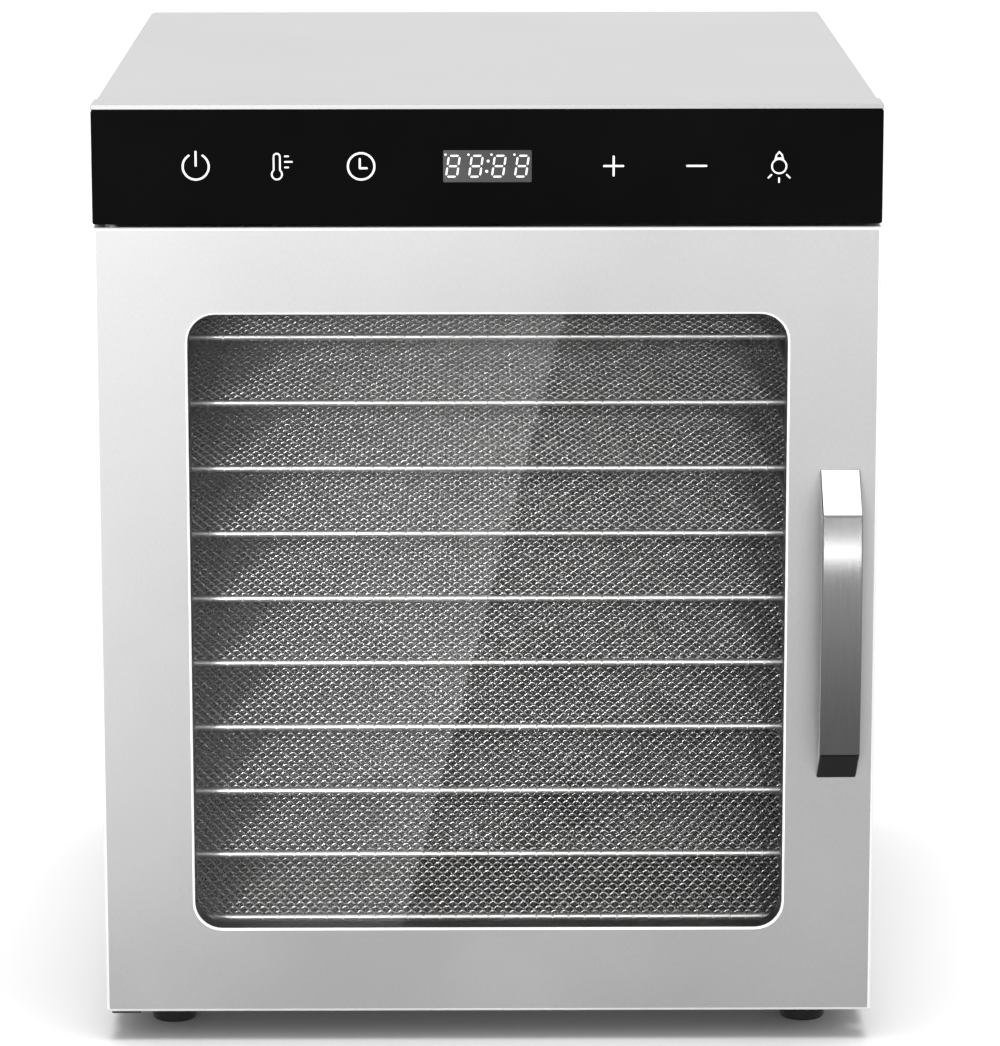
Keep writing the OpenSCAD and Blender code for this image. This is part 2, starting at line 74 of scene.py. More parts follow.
# ---------------------------------------------------------------- shader helpers
class Shader:
    """One material's node tree, with short calls for the nodes that the materials share."""

    def __init__(self, name):
        self.material = bpy.data.materials.new(name)
        self.material.use_nodes = True
        self.tree = self.material.node_tree
        self.tree.nodes.clear()
        self.output = self.tree.nodes.new("ShaderNodeOutputMaterial")
        self.place = self.tree.nodes.new("ShaderNodeTexCoord").outputs["Object"]

    def link(self, source, target):
        """Joins an output socket to an input socket."""
        self.tree.links.new(source, target)

    def noise(self, scale, detail=2.0, stretch=(1, 1, 1)):
        """Noise whose cells are 1 / scale metres wide, divided by stretch along each axis."""
        mapping = self.tree.nodes.new("ShaderNodeMapping")
        mapping.inputs["Scale"].default_value = stretch
        self.link(self.place, mapping.inputs["Vector"])
        noise = self.tree.nodes.new("ShaderNodeTexNoise")
        noise.inputs["Scale"].default_value = scale
        noise.inputs["Detail"].default_value = detail
        self.link(mapping.outputs["Vector"], noise.inputs["Vector"])
        return noise.outputs["Fac"]

    def spread(self, value, low, high, from_low=0.3, from_high=0.7):
        """value, mapped from its middle range to the range low to high."""
        node = self.tree.nodes.new("ShaderNodeMapRange")
        node.inputs["From Min"].default_value = from_low
        node.inputs["From Max"].default_value = from_high
        node.inputs["To Min"].default_value = low
        node.inputs["To Max"].default_value = high
        self.link(value, node.inputs["Value"])
        return node.outputs["Result"]

    def colours(self, value, dark, light, low=0.3, high=0.7):
        """A colour between dark and light that follows value."""
        ramp = self.tree.nodes.new("ShaderNodeValToRGB")
        ramp.color_ramp.elements[0].position = low
        ramp.color_ramp.elements[0].color = (*dark, 1)
        ramp.color_ramp.elements[1].position = high
        ramp.color_ramp.elements[1].color = (*light, 1)
        self.link(value, ramp.inputs["Fac"])
        return ramp.outputs["Color"]

    def bump(self, height, depth, under=None):
        """A normal from height, whose full range is depth metres."""
        node = self.tree.nodes.new("ShaderNodeBump")
        node.inputs["Strength"].default_value = 1.0
        node.inputs["Distance"].default_value = depth
        self.link(height, node.inputs["Height"])
        if under:
            self.link(under, node.inputs["Normal"])
        return node.outputs["Normal"]

    def surface(self, colour, roughness, normal=None, **values):
        """The main shader. colour and roughness are node outputs, and values are set on its own sockets."""
        node = self.tree.nodes.new("ShaderNodeBsdfPrincipled")
        self.link(colour, node.inputs["Base Color"])
        self.link(roughness, node.inputs["Roughness"])
        if normal:
            self.link(normal, node.inputs["Normal"])
        for name, value in values.items():
            node.inputs[name.replace("_", " ")].default_value = value
        self.link(node.outputs[0], self.output.inputs["Surface"])
        return node


def grey(level, warm=0.0):
    """A grey of the given level, moved slightly towards red by warm."""
    return (level * (1 + warm), level, level * (1 - warm))


# ---------------------------------------------------------------- materials
def brushed_metal(name, level, rough, stretch, scratch, warm=0.0, stain=0.06, scale=900, metallic=1.0):
    """Steel with fine grain. stretch sets the grain's direction, and scratch its depth in metres."""
    s = Shader(name)
    grain = s.noise(scale, 3, stretch)
    cloud = s.noise(9, 3)
    mixed = s.tree.nodes.new("ShaderNodeMath")
    mixed.operation = "MULTIPLY_ADD"
    s.link(cloud, mixed.inputs[0])
    mixed.inputs[1].default_value = 0.8
    s.link(s.spread(grain, -0.14, 0.14), mixed.inputs[2])
    dark, light = grey(level * (1 - stain), warm), grey(level * (1 + stain), warm)
    colour = s.colours(mixed.outputs[0], dark, light, 0.2, 0.6)
    roughness = s.spread(mixed.outputs[0], rough * 0.88, rough * 1.14, 0.2, 0.6)
    s.surface(colour, roughness, s.bump(grain, scratch), Metallic=metallic)
    return s.material


def polished_wire(name, level, rough):
    """Drawn stainless wire: smooth, with faint die marks and patches of weld tint."""
    s = Shader(name)
    patch = s.noise(60, 3)
    fine = s.noise(1500, 2)
    colour = s.colours(patch, grey(level * 0.86, 0.02), grey(level * 1.05), 0.3, 0.65)
    s.surface(colour, s.spread(fine, rough * 0.8, rough * 1.25), s.bump(fine, 0.002 * MM), Metallic=1.0)
    return s.material


def moulded(name, dark, light, rough, grain=700, depth=0.02, **values):
    """Moulded rubber, plastic, enamel or ceramic with a fine surface grain and slight colour change."""
    s = Shader(name)
    fine = s.noise(grain, 3)
    cloud = s.noise(22, 3)
    colour = s.colours(cloud, dark, light)
    roughness = s.spread(fine, rough * 0.85, min(1.0, rough * 1.15))
    s.surface(colour, roughness, s.bump(fine, depth * MM), **values)
    return s.material


def gloss_black(name):
    """Back-painted black glass: deep black, with very faint polishing haze."""
    s = Shader(name)
    haze = s.noise(14, 4)
    colour = s.colours(haze, grey(0.0015), grey(0.003))
    node = s.surface(colour, s.spread(haze, 0.03, 0.09), s.bump(s.noise(5, 1), 0.02 * MM))
    node.inputs["Specular IOR Level"].default_value = 0.045
    return s.material


def clear_pane(name, tint, ior):
    """Thin clear glass: it lets light straight through, and its reflection grows towards grazing angles."""
    s = Shader(name)
    clear = s.tree.nodes.new("ShaderNodeBsdfTransparent")
    s.link(s.colours(s.noise(11, 2), grey(tint * 0.985), grey(tint)), clear.inputs["Color"])
    gloss = s.tree.nodes.new("ShaderNodeBsdfGlossy")
    s.link(s.spread(s.noise(30, 3), 0.0, 0.02), gloss.inputs["Roughness"])
    edge = s.tree.nodes.new("ShaderNodeFresnel")
    edge.inputs["IOR"].default_value = ior
    mix = s.tree.nodes.new("ShaderNodeMixShader")
    s.link(edge.outputs[0], mix.inputs["Fac"])
    s.link(clear.outputs[0], mix.inputs[1])
    s.link(gloss.outputs[0], mix.inputs[2])
    s.link(mix.outputs[0], s.output.inputs["Surface"])
    return s.material


def circuit_board(name):
    """Green solder mask with lighter copper areas and a grid of pads."""
    s = Shader(name)
    cells = s.tree.nodes.new("ShaderNodeTexVoronoi")
    cells.inputs["Scale"].default_value = 260
    s.link(s.place, cells.inputs["Vector"])
    colour = s.colours(cells.outputs["Distance"], (0.45, 0.42, 0.3), (0.02, 0.16, 0.08), 0.12, 0.2)
    s.surface(colour, s.spread(s.noise(300, 2), 0.3, 0.5), s.bump(cells.outputs["Distance"], 0.05 * MM))
    return s.material


def printed_white(name, glow):
    """White print or lit segments on the panel, slightly uneven. glow makes them emit: for the lit display
    segments that is their own light, for the printed key symbols it is a painted glow.
    """
    s = Shader(name)
    fine = s.noise(1200, 2)
    node = s.surface(s.colours(fine, grey(0.78), grey(0.88)), s.spread(fine, 0.35, 0.5))
    node.inputs["Emission Color"].default_value = (1, 1, 1, 1)
    node.inputs["Emission Strength"].default_value = glow
    return s.material


ALONG_X, ALONG_Z, SATIN, EVEN = (0.03, 1, 1), (1, 1, 0.03), (1, 1, 0.35), (1, 1, 1)
MATERIALS = {
    "case_steel": brushed_metal("case_steel", 0.66, 0.36, SATIN, 0.006 * MM, 0.0, 0.04, 1500),
    "liner_steel": brushed_metal("liner_steel", 0.42, 0.30, ALONG_X, 0.02 * MM),
    "tray_steel": polished_wire("tray_steel", 0.42, 0.27),
    "handle_steel": brushed_metal("handle_steel", 0.26, 0.10, ALONG_Z, 0.01 * MM),
    "black_glass": gloss_black("black_glass"),
    "clear_glass": clear_pane("clear_glass", 0.93, 1.25),
    "lamp_glass": moulded("lamp_glass", grey(0.75, 0.02), grey(0.85, 0.02), 0.2),
    "black_enamel": moulded("black_enamel", grey(0.012), grey(0.02), 0.35, 400, 0.02),
    "black_rubber": moulded("black_rubber", grey(0.004), grey(0.009), 0.62, 900, 0.05),
    "black_plastic": moulded("black_plastic", grey(0.012), grey(0.022), 0.45, 800, 0.04),
    "circuit_board": circuit_board("circuit_board"),
    "spring_metal": polished_wire("spring_metal", 0.6, 0.3),
    "motor_metal": brushed_metal("motor_metal", 0.4, 0.4, EVEN, 0.03 * MM),
    "heater_sheath": brushed_metal("heater_sheath", 0.16, 0.5, EVEN, 0.05 * MM, 0.08, 0.3),
    "ceramic_white": moulded("ceramic_white", grey(0.62, 0.03), grey(0.74, 0.02), 0.28),
    "plated_steel": brushed_metal("plated_steel", 0.6, 0.25, EVEN, 0.02 * MM),
    "magnet_black": moulded("magnet_black", grey(0.02), grey(0.035), 0.5),
    "fan_aluminium": brushed_metal("fan_aluminium", 0.66, 0.33, EVEN, 0.03 * MM),
    "white_nylon": moulded("white_nylon", grey(0.7, 0.01), grey(0.8, 0.01), 0.45),
}
# A paler, less metallic copy of the case steel for the door's fold and window rim: a painted highlight along
# these edges.
PAINTED_HIGHLIGHT_EDGE = brushed_metal("edge_painted_highlight", 0.92, 0.5, EVEN, 0.004 * MM, 0.0, 0.03, 1500, 0.35)
# A lighter copy of the tray's wire steel for the frame rods and the wires wrapped round them: painted
# brightness, so that they read as more lit than the mesh.
ROD_PAINTED_BRIGHT = polished_wire("tray_rod", 0.86, 0.5)
# The printed key symbols get a faint glow: painted light, since print gives none.
PAINTED_GLOW_PRINT = printed_white("panel_print_painted_glow", 0.25)
DIGITS = printed_white("display_digits", 0.35)
DISPLAY = moulded("display_filter", grey(0.045), grey(0.075), 0.2, 500, 0.01)


# ---------------------------------------------------------------- mesh helpers
def placed(name, data):
    """An object of data, linked into the scene."""
    thing = bpy.data.objects.new(name, data)
    bpy.context.scene.collection.objects.link(thing)
    return thing


def mesh_from(name, bm):
    """A mesh of bm with its normals outwards. bm is freed."""
    bmesh.ops.recalc_face_normals(bm, faces=bm.faces)
    mesh = bpy.data.meshes.new(name)
    bm.to_mesh(mesh)
    bm.free()
    return mesh


def piece(name, bm, material, body, replaces=(), smooth_below=40):
    """Shows bm as a piece that rides on body and stands for the CAD nodes in replaces.

    It is smooth where its faces meet at less than smooth_below degrees.
    """
    mesh = mesh_from(name, bm)
    mesh.materials.append(material)
    mesh.shade_smooth()
    mesh.set_sharp_from_angle(angle=math.radians(smooth_below))
    thing = placed(name, mesh)
    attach(thing, body)
    if replaces:
        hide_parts(*replaces)
    return thing


def flatten(thing):
    """Keeps the wide flat faces of thing flat, so that only its rounded edges catch the light."""
    modifier = thing.modifiers.new("flat_faces", "WEIGHTED_NORMAL")
    modifier.keep_sharp = True
    modifier.weight = 80


def bevel(thing, width, segments=3, angle=35):
    """Rounds over the edges of thing that are sharper than angle degrees."""
    modifier = thing.modifiers.new("edge_rounding", "BEVEL")
    modifier.width = width
    modifier.segments = segments
    modifier.limit_method = "ANGLE"
    modifier.angle_limit = math.radians(angle)
    modifier.harden_normals = True
    return thing


def rounded_copy(node, width, segments=2):
    """A copy of a CAD node with its sharp edges rounded over, shown in its place."""
    source = NODES[node]
    bm = bmesh.new()
    bm.from_mesh(source.data)
    bmesh.ops.remove_doubles(bm, verts=bm.verts, dist=0.001 * MM)
    bmesh.ops.dissolve_limit(bm, angle_limit=math.radians(0.5), verts=bm.verts, edges=bm.edges)
    slot = SLOT_OF[node]
    copy = piece(node + "_finish", bm, MATERIALS[slot], source["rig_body"], (node,))
    return bevel(copy, width, segments)


def loft(bm, loops, closed=False):
    """Joins loops of points, each with the same number of points, by strips of quads."""
    rings = [[bm.verts.new(point) for point in loop] for loop in loops]
    pairs = list(zip(rings, rings[1:])) + ([(rings[-1], rings[0])] if closed else [])
    for near, far in pairs:
        for i in range(len(near)):
            j = (i + 1) % len(near)
            bm.faces.new((near[i], near[j], far[j], far[i]))
    return rings


def rounded_rectangle(low, high, radius, steps=8):
    """Points (a, b) round a rectangle with round corners, from low to high."""
    points = []
    corners = ((high[0], high[1], 0), (low[0], high[1], 90), (low[0], low[1], 180), (high[0], low[1], 270))
    for a, b, start in corners:
        centre_a = a - math.copysign(radius, a - (low[0] + high[0]) / 2)
        centre_b = b - math.copysign(radius, b - (low[1] + high[1]) / 2)
        for i in range(steps + 1):
            turn = math.radians(start + 90 * i / steps)
            points.append((centre_a + radius * math.cos(turn), centre_b + radius * math.sin(turn)))
    return points


def tube(bm, path, radius, sides=8, closed=False, cap=True):
    """A round wire along path."""
    rings = []
    count = len(path)
    for i, point in enumerate(path):
        before = path[i - 1] if i > 0 or closed else point
        after = path[(i + 1) % count] if i < count - 1 or closed else point
        along = (Vector(after) - Vector(before)).normalized()
        side = along.cross(Vector((0, 0, 1)))
        side = side.normalized() if side.length > 0.01 else Vector((1, 0, 0))
        up = side.cross(along)
        ring = [Vector(point) + radius * (math.cos(turn) * side + math.sin(turn) * up)
                for turn in [2 * math.pi * k / sides for k in range(sides)]]
        rings.append(ring)
    made = loft(bm, rings, closed)
    if cap and not closed:
        bm.faces.new(made[0])
        bm.faces.new(made[-1])


def turned(bm, profile, centre, axis, sides=32):
    """A lathe shape: profile gives (radius, distance along axis) from one end to the other."""
    axis = Vector(axis).normalized()
    side = axis.orthogonal().normalized()
    up = axis.cross(side)
    loops = [[Vector(centre) + axis * along + radius * (math.cos(turn) * side + math.sin(turn) * up)
              for turn in [2 * math.pi * k / sides for k in range(sides)]] for radius, along in profile]
    rings = loft(bm, loops)
    bm.faces.new(rings[0])
    bm.faces.new(rings[-1])


# ---------------------------------------------------------------- door skin
WINDOW_SIDE, WINDOW_LOW, WINDOW_HIGH, WINDOW_R = 130 * MM, 38.5 * MM, 314.1 * MM, 12 * MM


def door_skin():
    """The door's folded front sheet, with a rounded fold at its outer edge and a rolled window edge. The
    fold and the rolled edge get a paler, less metallic copy of the case steel: a painted highlight along
    them.
    """
    half = DOOR_HIGH.x
    fold, roll, sheet = 1.3 * MM, 0.9 * MM, 1.0 * MM
    back = DOOR_HIGH.y

    def outer(inset, y):
        """The sheet's outline at y, drawn in by inset."""
        low, high = (-half + inset, DOOR_LOW.z + inset), (half - inset, DOOR_HIGH.z - inset)
        return [(x, y, z) for x, z in rounded_rectangle(low, high, 0.6 * MM)]

    def inner(grow, y):
        """The window's outline at y, let out by grow."""
        low = (-WINDOW_SIDE - grow, DOOR_LOW.z + WINDOW_LOW - grow)
        high = (WINDOW_SIDE + grow, DOOR_LOW.z + WINDOW_HIGH + grow)
        return [(x, y, z) for x, z in rounded_rectangle(low, high, WINDOW_R + grow)]

    steps = 5
    turns = [math.radians(90 * i / steps) for i in range(steps + 1)]
    inside = FRONT_Y + sheet
    flange = FRONT_Y + fold
    plate_loops = [inner(roll, inside), inner(roll, FRONT_Y), outer(fold, FRONT_Y), outer(fold, inside)]
    flange_loops = [outer(sheet, flange), outer(sheet, back), outer(0, back), outer(0, flange)]
    bm = bmesh.new()
    loft(bm, plate_loops, closed=True)
    loft(bm, flange_loops, closed=True)
    front = piece("door_front_sheet", bm, MATERIALS["case_steel"], "door", ("door_skin",), 60)
    flatten(front)
    fold_loops = [outer(fold, inside), outer(sheet, inside), outer(sheet, flange)]
    fold_loops += [outer(fold * (1 - math.cos(t)), FRONT_Y + fold * (1 - math.sin(t))) for t in turns]
    bm = bmesh.new()
    loft(bm, fold_loops, closed=True)
    edge = piece("door_folded_edge", bm, PAINTED_HIGHLIGHT_EDGE, "door", (), 60)
    rim_loops = [inner(roll, inside)]
    rim_loops += [inner(roll * (1 - math.sin(t)), FRONT_Y + roll * (1 - math.cos(t))) for t in turns]
    rim_loops += [inner(0, inside)]
    bm = bmesh.new()
    loft(bm, rim_loops, closed=True)
    rim = piece("door_window_rim", bm, PAINTED_HIGHLIGHT_EDGE, "door", (), 60)
    return front, [edge, rim]


# ---------------------------------------------------------------- handle
def door_handle():
    """The pull: a wide strap with two sloping legs and a grip bowed slightly outwards."""
    strap, bow, leg_low, leg_high, steps = 5.5 * MM, 2.5 * MM, 15 * MM, 17 * MM, 24
    low, high = HANDLE_LOW.z, HANDLE_HIGH.z
    reach = FRONT_Y - HANDLE_LOW.y

    def outline(inset):
        """Points (y, z) along the strap's outer face, or its inner face when inset is its thickness."""
        out, bottom, top = reach - bow - inset, low + inset * 1.5, high - inset * 1.5
        grip = top - bottom - leg_low - leg_high
        points = [(FRONT_Y, bottom)]
        for i in range(steps + 1):
            t = i / steps
            points.append((FRONT_Y - out - bow * math.sin(math.pi * t), bottom + leg_low + t * grip))
        return points + [(FRONT_Y, top)]

    bm = bmesh.new()
    left, right = HANDLE_LOW.x, HANDLE_HIGH.x
    loops = [[(left, out_y, out_z), (right, out_y, out_z), (right, in_y, in_z), (left, in_y, in_z)]
             for (out_y, out_z), (in_y, in_z) in zip(outline(0), outline(strap))]
    rings = loft(bm, loops)
    bm.faces.new(rings[0])
    bm.faces.new(rings[-1])
    pull = piece("door_pull", bm, MATERIALS["handle_steel"], "door", ("door_handle",), 30)
    return bevel(pull, 0.7 * MM, 3, 30)


# ---------------------------------------------------------------- trays
def tray_mesh(low, high):
    """One tray about its own middle: a rod frame with round corners, two rods under it and a woven mesh."""
    rod = (high.z - low.z) / 2
    half_x, half_y = (high.x - low.x) / 2 - rod, (high.y - low.y) / 2 - rod
    corner = 8 * MM - rod
    bm = bmesh.new()
    frame_path = [(x, y, 0) for x, y in rounded_rectangle((-half_x, -half_y), (half_x, half_y), corner, 7)]
    tube(bm, frame_path, rod, 12, closed=True)
    rod_faces = len(bm.faces)

    support_x, support_r, drop = 124.5 * MM, 1.2 * MM, -1.7 * MM
    for x in (-support_x, support_x):
        tube(bm, [(x, -half_y + 0.2 * MM, drop), (x, half_y - 0.2 * MM, drop)], support_r, 8)
        turned(bm, [(0.4 * MM, 2.1 * MM), (1.5 * MM, 1.5 * MM), (2.0 * MM, 0.4 * MM), (2.0 * MM, -0.4 * MM)],
               (x, -half_y + 3.4 * MM, -0.4 * MM), (0, 0, 1), 10)

    # straight wires front to back, and crimped wires across that pass over and under them
    pitch, row_pitch, wire, crimped, wave = 2.32 * MM, 7.3 * MM, 0.27 * MM, 0.56 * MM, 0.72 * MM
    level = 0.15 * MM
    count = int(2 * half_x / pitch)
    first = -(count - 1) * pitch / 2
    for i in range(count):
        x = first + i * pitch
        tube(bm, [(x, -half_y, level), (x, half_y, level)], wire, 5, cap=False)
    rows = int(2 * half_y / row_pitch)
    for row in range(rows):
        y = (row - (rows - 1) / 2) * row_pitch
        path = []
        for k in range(3 * count + 1):
            x = first + (k - 1.5) * pitch / 3
            phase = math.pi * (k - 1.5) / 3 + math.pi * (row % 2)
            path.append((x, y, level + wave * math.cos(phase)))
        path = [(-half_x, y, level)] + path + [(half_x, y, level)]
        tube(bm, path, crimped, 6, cap=False)
    weave_faces = len(bm.faces)

    # short wires that wrap round the front rod
    wrap_turns = (1.5, 1.1, 0.7, 0.3, -0.1, -0.5, -0.9, -1.3)
    for i in range(-17, 18):
        bend = [(i * row_pitch, -half_y - rod * math.cos(t), rod * math.sin(t)) for t in wrap_turns]
        tube(bm, bend, 0.42 * MM, 6)
    bmesh.ops.recalc_face_normals(bm, faces=bm.faces)
    bm.faces.ensure_lookup_table()
    # Material 1, the lighter rod steel, paints the frame rods and the wraps brighter than the woven mesh.
    for i in list(range(rod_faces)) + list(range(weave_faces, len(bm.faces))):
        bm.faces[i].material_index = 1
    mesh = bpy.data.meshes.new("tray_weave")
    bm.to_mesh(mesh)
    bm.free()
    return mesh


def trays():
    """Every tray shares one mesh, set at the middle of its own CAD node."""
    names = sorted(name for name in NODES if name.startswith("tray_") and name[5:].isdigit())
    mesh = tray_mesh(*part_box(names[0]))
    made = []
    for name in names:
        low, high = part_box(name)
        tray = placed(name + "_woven", mesh)
        tray.location = (low + high) / 2
        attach(tray, NODES[name]["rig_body"])
        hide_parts(name)
        made.append(tray)
    mesh.materials.append(MATERIALS["tray_steel"])
    mesh.materials.append(ROD_PAINTED_BRIGHT)
    mesh.shade_smooth()
    return made


# ---------------------------------------------------------------- control panel
KEY_Z = PANEL_LOW.z + 25.1 * MM
PRINT_Y = PANEL_LOW.y
PRINT_T = 0.08 * MM
STROKE, THIN = 0.45 * MM, 0.36 * MM


def slab(bm, outline, y=PRINT_Y, thick=PRINT_T):
    """A flat outline in X and Z, raised by thick in front of y."""
    front = [bm.verts.new((x, y - thick, z)) for x, z in outline]
    back = [bm.verts.new((x, y, z)) for x, z in outline]
    bm.faces.new(front)
    bm.faces.new(back)
    for i in range(len(outline)):
        j = (i + 1) % len(outline)
        bm.faces.new((front[i], front[j], back[j], back[i]))


def stroke(bm, points, half=STROKE):
    """A line of even width with round ends through points."""
    count = len(points)
    normals = []
    for i in range(count):
        a, b = Vector(points[max(i - 1, 0)]), Vector(points[min(i + 1, count - 1)])
        along = (b - a).normalized()
        normals.append(Vector((-along.y, along.x)))
    left = [Vector(p) + n * half for p, n in zip(points, normals)]
    right = [Vector(p) - n * half for p, n in zip(points, normals)]

    def cap(centre, start):
        """The points of a round end at centre, which turns on from the direction start."""
        first = math.atan2(start.y, start.x)
        turns = [first - math.pi * k / 6 for k in range(1, 6)]
        return [Vector(centre) + half * Vector((math.cos(turn), math.sin(turn))) for turn in turns]

    slab(bm, left + cap(points[-1], normals[-1]) + right[::-1] + cap(points[0], -normals[0]))


def arc(x, z, radius, start, end, steps=36):
    """Points round a circle from start to end, in degrees."""
    turns = [math.radians(start + (end - start) * i / steps) for i in range(steps + 1)]
    return [(x + radius * math.cos(turn), z + radius * math.sin(turn)) for turn in turns]


def ring(bm, x, z, radius, half=STROKE, steps=40):
    """A closed circle of even width."""
    circles = [[(x + r * math.cos(2 * math.pi * k / steps), y, z + r * math.sin(2 * math.pi * k / steps))
                for k in range(steps)]
               for r, y in ((radius - half, PRINT_Y), (radius - half, PRINT_Y - PRINT_T),
                            (radius + half, PRINT_Y - PRINT_T), (radius + half, PRINT_Y))]
    loft(bm, circles, closed=True)


# Each key function draws its symbol about the point x, z
def key_power(bm, x, z):
    """An open circle with an upright line through its gap."""
    stroke(bm, arc(x, z, 5.6 * MM, 122, 418))
    stroke(bm, [(x, z + 6.4 * MM), (x, z + 0.4 * MM)])


def key_temperature(bm, x, z):
    """A thermometer with three marks beside it."""
    half, bulb, low = 1.35 * MM, 2.2 * MM, z - 3.4 * MM
    join = math.degrees(math.asin(half / bulb))
    top = [(x + half, z + 4.2 * MM)] + arc(x, z + 4.2 * MM, half, 0, 180, 12) + [(x - half, z + 4.2 * MM)]
    bottom = arc(x, low, bulb, 90 + join, 450 - join, 24)
    outline = top + bottom
    stroke(bm, outline + outline[:1], THIN)
    for row, length in ((4.4, 1.4), (2.0, 3.0), (-0.4, 1.4)):
        start = x + 3.5 * MM
        stroke(bm, [(start, z + row * MM), (start + length * MM, z + row * MM)], THIN)


def key_clock(bm, x, z):
    """A clock face with two hands."""
    ring(bm, x, z, 5.7 * MM)
    stroke(bm, [(x - 0.6 * MM, z + 3.2 * MM), (x - 0.6 * MM, z - 0.8 * MM)])
    stroke(bm, [(x - 0.6 * MM, z - 0.8 * MM), (x + 2.4 * MM, z - 0.8 * MM)])


def key_plus(bm, x, z):
    """A plus sign."""
    reach = 4.1 * MM
    stroke(bm, [(x - reach, z), (x + reach, z)])
    stroke(bm, [(x, z - reach), (x, z + reach)])


def key_minus(bm, x, z):
    """A minus sign."""
    stroke(bm, [(x - 4.1 * MM, z), (x + 4.1 * MM, z)])


def key_lamp(bm, x, z):
    """A hanging lamp with three rays below it."""
    ring(bm, x, z - 0.2 * MM, 3.1 * MM, THIN)
    for side in (-1, 1):
        cone = [(x + side * 1.7 * MM, z + 2.8 * MM), (x + side * 1.2 * MM, z + 4.6 * MM), (x, z + 6.0 * MM)]
        stroke(bm, cone, THIN)
    stroke(bm, [(x - 1.5 * MM, z + 3.2 * MM), (x + 1.5 * MM, z + 3.2 * MM)], THIN)
    for turn in (-45, 0, 45):
        away = Vector((math.sin(math.radians(turn)), -math.cos(math.radians(turn))))
        middle = Vector((x, z - 0.6 * MM))
        stroke(bm, [tuple(middle + away * 4.7 * MM), tuple(middle + away * 6.5 * MM)], THIN)


def digit(bm, x, z):
    """One figure eight of seven separate slanted segments."""
    half_w, half_h, thick, lean = 2.35 * MM, 4.5 * MM, 0.42 * MM, math.tan(math.radians(8))
    gap = 0.45 * MM

    def bar(a, b, along_x):
        """Draws a bar from a to b with pointed ends."""
        if along_x:
            shape = [(a[0], a[1]), (a[0] + thick, a[1] + thick), (b[0] - thick, b[1] + thick),
                     (b[0], b[1]), (b[0] - thick, b[1] - thick), (a[0] + thick, a[1] - thick)]
        else:
            shape = [(a[0], a[1]), (a[0] + thick, a[1] + thick), (b[0] + thick, b[1] - thick),
                     (b[0], b[1]), (b[0] - thick, b[1] - thick), (a[0] - thick, a[1] + thick)]
        slab(bm, [(x + u + v * lean, z + v) for u, v in shape])

    for level in (-half_h, 0, half_h):
        bar((-half_w + gap, level), (half_w - gap, level), True)
    for side in (-half_w, half_w):
        bar((side, -half_h + gap), (side, -gap), False)
        bar((side, gap), (side, half_h - gap), False)


def round_dot(bm, x, z, radius):
    """A printed round dot."""
    slab(bm, [(x + radius * math.cos(2 * math.pi * k / 12), z + radius * math.sin(2 * math.pi * k / 12))
              for k in range(12)])


def control_panel():
    """Printed key symbols with a faint painted glow, the smoked display window and its digits, all on the
    glass.
    """
    keys = ((-125.2, key_power), (-90.4, key_temperature), (-54.2, key_clock),
            (54.2, key_plus), (89.9, key_minus), (125.3, key_lamp))
    bm = bmesh.new()
    for x, draw in keys:
        draw(bm, x * MM, KEY_Z)
    piece("key_symbols", bm, PAINTED_GLOW_PRINT, "cabinet", (), 20)

    bm = bmesh.new()
    half_w, half_h = 19 * MM, 6.9 * MM
    outline = rounded_rectangle((-half_w, KEY_Z - half_h), (half_w, KEY_Z + half_h), 0.5 * MM, 3)
    slab(bm, outline, PRINT_Y, 0.03 * MM)
    piece("display_window", bm, DISPLAY, "cabinet", (), 20)

    bm = bmesh.new()
    pitch = 9.86 * MM
    for i in range(4):
        x = (i - 1.5) * pitch
        digit(bm, x, KEY_Z)
        round_dot(bm, x - 3.2 * MM, KEY_Z + 5.0 * MM, 0.5 * MM)
    for side in (-1, 1):
        round_dot(bm, side * 0.3 * MM, KEY_Z + side * 2.2 * MM, 0.65 * MM)
    piece("display_digits", bm, DIGITS, "cabinet", (), 20)


# ---------------------------------------------------------------- screws
def dome(radius, height):
    """The outline of a pan head that stands on its washer face."""
    curve = [(radius * (0.35 + 0.65 * math.cos(t)), height * (0.35 + 0.65 * math.sin(t)))
             for t in [math.radians(15 * i) for i in range(1, 6)]]
    return [(radius, 0.0), (radius, height * 0.35)] + curve


def cross_recess(bm, centre, axis, radius, height):
    """Two crossed wedges that are cut out of a screw head."""
    axis = Vector(axis)
    side = axis.orthogonal().normalized()
    up = axis.cross(side)
    square = ((-1, -1), (1, -1), (1, 1), (-1, 1))
    for a, b in ((side, up), (up, side)):
        loops = []
        for level, reach, thick in ((1.2, 0.55, 0.11), (0.3, 0.18, 0.08)):
            middle = Vector(centre) + axis * height * level
            loops.append([middle + a * u * radius * reach + b * v * radius * thick for u, v in square])
        rings = loft(bm, loops)
        bm.faces.new(rings[0])
        bm.faces.new(rings[-1])


